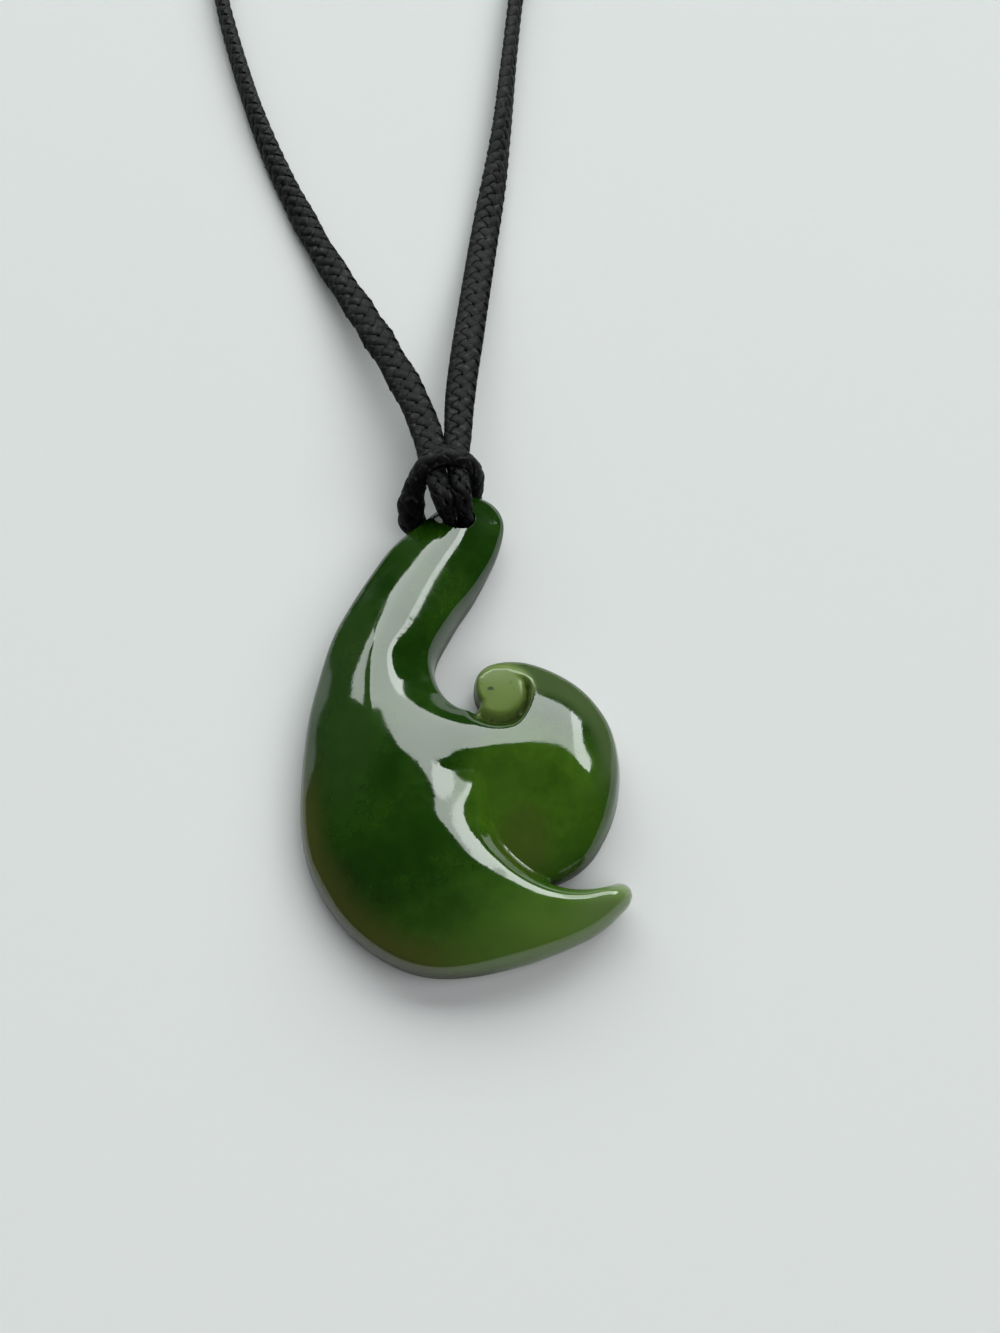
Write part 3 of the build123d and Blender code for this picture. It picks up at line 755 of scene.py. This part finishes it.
class Finish:
    def __init__(self, name):
        self.material = bpy.data.materials.new(name)
        self.material.use_nodes = True
        self.tree = self.material.node_tree
        self.tree.nodes.clear()

    def add(self, kind, settings=None, values=None, out=0):
        node = self.tree.nodes.new(kind)
        for key, value in (settings or {}).items():
            setattr(node, key, value)
        for key, value in (values or {}).items():
            Shade.feed(self.tree, node.inputs[key], value)
        return Shade(self.tree, node.outputs[out])

    def noise(self, coords, scale, detail, roughness):
        return self.add("ShaderNodeTexNoise", {}, {"Vector": coords, "Scale": scale, "Detail": detail,
                                                   "Roughness": roughness})

    def bump(self, height, strength, depth):
        return self.add("ShaderNodeBump", {}, {"Height": height, "Strength": strength, "Distance": depth})

    def mix(self, share, first, second):
        return self.add("ShaderNodeMix", {"data_type": "RGBA"}, {0: share, 6: first, 7: second}, out=2)

    def place(self):
        coords = self.add("ShaderNodeTexCoord", out=3)
        apart = self.tree.nodes.new("ShaderNodeSeparateXYZ")
        self.tree.links.new(coords.out, apart.inputs[0])
        return coords, [Shade(self.tree, o) * 1000.0 for o in apart.outputs]   # in millimetres

    def surface(self, settings, **links):
        shader = self.tree.nodes.new("ShaderNodeBsdfPrincipled")
        for key, value in settings.items():
            shader.inputs[key].default_value = value
        for key, value in links.items():
            Shade.feed(self.tree, shader.inputs[key.replace("_", " ")], value)
        end = self.tree.nodes.new("ShaderNodeOutputMaterial")
        self.tree.links.new(shader.outputs[0], end.inputs[0])
        return self.material


jadeLook = {
    "deep": (0.0046, 0.0215, 0.0006, 1), "mid": (0.0105, 0.0365, 0.0016, 1),
    "bright": (0.036, 0.092, 0.008, 1),
    "green": (0.033, 0.082, 0.0045, 1), "olive": (0.032, 0.044, 0.007, 1), "arm": (0.042, 0.066, 0.023, 1),
    "bulb": (0.094, 0.142, 0.028, 1), "tip": (0.087, 0.136, 0.043, 1), "brown": (0.050, 0.055, 0.011, 1),
    # the first and last colours on the next line are painted shade: the upright edge, and a small pit on the
    # bulb
    "rim": (0.018, 0.018, 0.008, 1), "underglow": (0.064, 0.118, 0.018, 1), "pitShade": (0.006, 0.010, 0.004, 1),
    # painted reflection: a faint lighter veil on the stone's west side
    "paintedVeil": (0.022, 0.052, 0.010, 1),
    # patches are (x, y, half width, half height, softness) in millimetres
    "paintedVeilPatch": (-7.6, -0.5, 2.6, 6.5, 1.0), "dishPatch": (4.6, -6.6, 4.6, 4.4, 0.7),
    "olivePatch": (3.9, -9.4, 1.7, 2.3, 1.0), "bulbPatch": (2.35, 1.3, 2.25, 2.2, 0.35),
    # the last patch takes a painted shade, as in a small pit on the bulb
    "pitShadePatch": (1.73, 1.42, 0.22, 0.13, 0.5),
    # how much of each colour is laid over the ones before it
    "shares": {"bright": 1.0, "paintedVeil": 0.55, "brown": 0.85, "underglow": 0.9, "green": 1.0, "olive": 0.65,
               "arm": 0.85, "bulb": 0.95, "pitShade": 0.85, "tip": 1.0, "rim": 0.85},
    # a noise is (scale, detail, roughness), and a span is where something starts and where it is full
    "cloud": (190.0, 4.0, 0.6), "fleck": (1100.0, 3.0, 0.7), "ripple": (900.0, 4.0, 0.65),
    "speckShares": (0.65, 0.35), "speckSpan": (0.40, 0.66), "brightSpeck": (0.50, 0.35),
    "greenSpeck": (0.6, 0.4), "rippleBump": (0.07, 0.00012), "cloudySpan": (0.35, 0.70),
    "lowLine": (9.0, 0.25, 16.2), "lowSpan": (-3.6, 3.4),
    "brownLean": 0.35, "brownSouth": (5.0, 12.0), "brownEast": (-3.0, 4.0), "brownRagged": 1.6,
    "brownInset": (0.4, 2.6), "glowEast": (-3.5, 5.5), "glowNorth": (-15.0, -12.0),
    "glowInset": (0.6, 3.6), "glowFade": 0.7,
    "armCentre": (4.0, -4.0), "armRing": (4.2, 5.4), "armEast": (1.0, 4.0), "armSouth": (-7.5, -3.0),
    "armNorth": (4.5, 5.5), "tipEast": (5.5, 10.5), "tipNorth": (-11.8, -10.8),
    # where the upright edge's painted shade and extra roughness begin and are full
    "wallUp": (1.2, 2.6), "wallNorth": (11.0, 14.0), "freeEast": (0.5, 5.0), "freeNorth": (-13.0, -10.5),
    "polish": 0.045, "cloudyPolish": 0.10, "wallPolish": 0.40, "bulbPolish": 0.22,     # roughness, added up
    "ior": 1.62, "glow": 0.20, "glowReach": (0.6, 1.0, 0.3), "glowDepth": 0.0010,
}


def jadeFinish(look):
    f = Finish("polishedJade")
    coords, (x, y, z) = f.place()
    inset = f.add("ShaderNodeAttribute", {"attribute_name": "inset"}, out=2)    # millimetres in from the edge

    def blob(cx, cy, rx, ry, soft):
        gap = ((x - cx) / rx) ** 2.0 + ((y - cy) / ry) ** 2.0
        return 1 - gap.ease(1 - soft, 1 + soft)
    cloud = f.noise(coords, *look["cloud"])
    fleck = f.noise(coords, *look["fleck"])
    cloudShare, fleckShare = look["speckShares"]
    speck = (cloud * cloudShare + fleck * fleckShare).ease(*look["speckSpan"])

    def specked(base, gain):
        return base + speck * gain

    def past(value, span):
        return value.ease(*look[span])
    pivot, slope, level = look["lowLine"]
    low = past((x + pivot) * slope - y - level, "lowSpan")
    southwest = past(y * -1.0 - x * look["brownLean"], "brownSouth") * (1 - past(x, "brownEast"))
    ragged = look["brownRagged"]
    nearEdge = 1 - past(inset + cloud * ragged - ragged / 2, "brownInset")
    southeast = past(x, "glowEast") * (1 - past(y, "glowNorth"))
    southeast = southeast * (1 - past(inset, "glowInset") * look["glowFade"])
    cx, cy = look["armCentre"]
    outward = ((x - cx) ** 2.0 + (y - cy) ** 2.0) ** 0.5
    arm = past(outward, "armRing") * past(x, "armEast") * past(y, "armSouth") * (1 - past(y, "armNorth"))
    bulb = blob(*look["bulbPatch"])
    # painted shade: the upright edge is darkened towards dark brown and made rougher, except beside the tip
    wall = (1 - past(z, "wallUp")) * (1 - past(y, "wallNorth"))
    wall = wall * (1 - past(x, "freeEast") * (1 - past(y, "freeNorth")))
    layers = {
        "bright": low * specked(*look["brightSpeck"]),     # the low edge of the belly takes more light
        # painted reflection: a faint lighter veil over the west side of the belly and neck
        "paintedVeil": blob(*look["paintedVeilPatch"]),
        "brown": southwest * nearEdge,
        "underglow": southeast,
        "green": blob(*look["dishPatch"]) * specked(*look["greenSpeck"]),
        "olive": blob(*look["olivePatch"]),
        "arm": arm,
        "bulb": bulb,
        # painted shade in a small pit on the bulb
        "pitShade": blob(*look["pitShadePatch"]),
        "tip": past(x, "tipEast") * (1 - past(y, "tipNorth")),
        "rim": wall}
    colour = f.mix(speck, look["deep"], look["mid"])
    for name, amount in layers.items():
        colour = f.mix(amount * look["shares"][name], colour, look[name])
    ripple = f.noise(coords, *look["ripple"])
    rough = look["polish"] + past(cloud * 0.5 + ripple * 0.5, "cloudySpan") * look["cloudyPolish"]
    rough = rough + wall * look["wallPolish"] + bulb * look["bulbPolish"]
    return f.surface({"IOR": look["ior"], "Subsurface Weight": look["glow"],
                      "Subsurface Radius": look["glowReach"], "Subsurface Scale": look["glowDepth"]},
                     Base_Color=colour, Roughness=rough, Normal=f.bump(ripple, *look["rippleBump"]))


cordLook = {
    "dark": (0.0022, 0.0021, 0.0026, 1), "light": (0.0105, 0.0100, 0.0112, 1),
    # the pale fleck colour is a painted highlight on the strands' crowns
    "fleck": (0.046, 0.046, 0.046, 1), "roughness": 0.55, "specular": 0.10,
    "mottle": (700.0, 4.0, 0.65), "yarn": (5200.0, 2.0, 0.5), "paintedGlints": (2100.0, 1.0, 0.5),
    "mottleShares": (0.7, 0.3), "mottleSpan": (0.40, 0.72), "glintSpan": (0.58, 0.72), "glintShare": 0.45,
    "yarnBump": (0.35, 0.00008),     # strength and depth
}


def cordFinish(look):
    f = Finish("waxedBraid")
    coords, _ = f.place()
    mottle, yarn, paintedGlints = [f.noise(coords, *look[k]) for k in ("mottle", "yarn", "paintedGlints")]
    mottleShare, yarnShare = look["mottleShares"]
    shade = (mottle * mottleShare + yarn * yarnShare).ease(*look["mottleSpan"])
    colour = f.mix(shade, look["dark"], look["light"])
    # painted highlight: pale flecks where the wax on the strands' crowns catches the light
    colour = f.mix(paintedGlints.ease(*look["glintSpan"]) * look["glintShare"], colour, look["fleck"])
    return f.surface({"Roughness": look["roughness"], "Specular IOR Level": look["specular"]},
                     Base_Color=colour, Normal=f.bump(yarn, *look["yarnBump"]))


stone = makeStone(jadeHook)
stone.data.materials.append(jadeFinish(jadeLook))
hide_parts("fish_hook")
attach(stone, "root")
print("stone", len(stone.data.polygons))

braid = cordFinish(cordLook)
cords = makeCords()
hitch = makeHitch(hitchShape)
closure = makeClosure(closureShape)
for piece, node in ((cords["left"][0], "cord_left"), (cords["right"][0], "cord_right"), (hitch, "hitch"),
                    (closure, "closure")):
    piece.data.materials.append(braid)
    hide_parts(node)
    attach(piece, "root")
    print(piece.name, len(piece.data.polygons))
for side, pieces in (("left", [hitch, closure]), ("right", [])):
    piece, centre = cords[side]
    tuple(centre[0] * mm)
    (centre * mm).tolist()

floorLook = {"size": 5.0, "colour": (0.472, 0.478, 0.486, 1), "roughness": 0.8, "specular": 0.15}
bpy.ops.mesh.primitive_plane_add(size=floorLook["size"], location=(0, 0, 0))
floor = bpy.context.object
floor.name = "floor"
paleFloor = Finish("paleFloor")
floor.data.materials.append(paleFloor.surface({
    "Base Color": floorLook["colour"], "Roughness": floorLook["roughness"],
    "Specular IOR Level": floorLook["specular"]}))

daylight = (0.94, 1.0, 0.955)
# azimuth is measured from +Y towards +X, and aside slides a panel along its own width
lampLook = {
    "window": {"azimuth": 5, "elevation": 39, "distance": 3.0, "width": 4.60, "height": 2.15,
               "power": 164.0, "colour": daylight},
    "brightPane": {"azimuth": 5, "elevation": 39, "distance": 2.97, "width": 0.80, "height": 2.15,
                   "power": 19.0, "colour": daylight, "aside": 1.87},
    "sideWindow": {"azimuth": -47.5, "elevation": 22, "distance": 3.0, "width": 1.11, "height": 0.64,
                   "power": 9.4, "colour": daylight},
    # it softens the shadows and leaves the polish alone
    "roomFill": {"azimuth": 118, "elevation": 55, "distance": 3.0, "width": 3.2, "height": 3.2,
                 "power": 84.0, "colour": (1.0, 1.0, 1.0), "glossy": False},
}


def panelAt(name, azimuth, elevation, distance, width, height, power, colour, aside=0, glossy=True):
    a, e = radians(azimuth), radians(elevation)
    place = Vector((sin(a) * cos(e), cos(a) * cos(e), sin(e))) * distance
    data = bpy.data.lights.new(name, "AREA")
    data.shape = "RECTANGLE"
    data.size, data.size_y = width, height
    data.energy, data.color = power, colour
    lamp = bpy.data.objects.new(name, data)
    lamp.visible_glossy = glossy
    lamp.location = place + Vector((cos(a), -sin(a), 0)) * aside
    lamp.rotation_euler = place.to_track_quat("Z", "Y").to_euler()
    bpy.context.collection.objects.link(lamp)


for name, look in lampLook.items():
    panelAt(name, **look)
    print("lamp", name)

roomLook = {"colour": (0.85, 1.0, 0.95, 1), "strength": 0.035}
world = bpy.data.worlds.new("room")
bpy.context.scene.world = world
world.use_nodes = True
background = world.node_tree.nodes["Background"]
background.inputs["Color"].default_value = roomLook["colour"]
background.inputs["Strength"].default_value = roomLook["strength"]

view = {"place": (2.362, -33.975, 79.0), "elevation": 64.0, "lens": 33.76}      # place in millimetres
camera = bpy.data.objects.new("camera", bpy.data.cameras.new("camera"))
camera.data.lens = view["lens"]
camera.data.clip_start = 0.005
camera.location = Vector(view["place"]) * mm
camera.rotation_euler = (radians(90 - view["elevation"]), 0, 0)
bpy.context.collection.objects.link(camera)
bpy.context.scene.camera = camera
bpy.context.scene.view_settings.view_transform = "Standard"
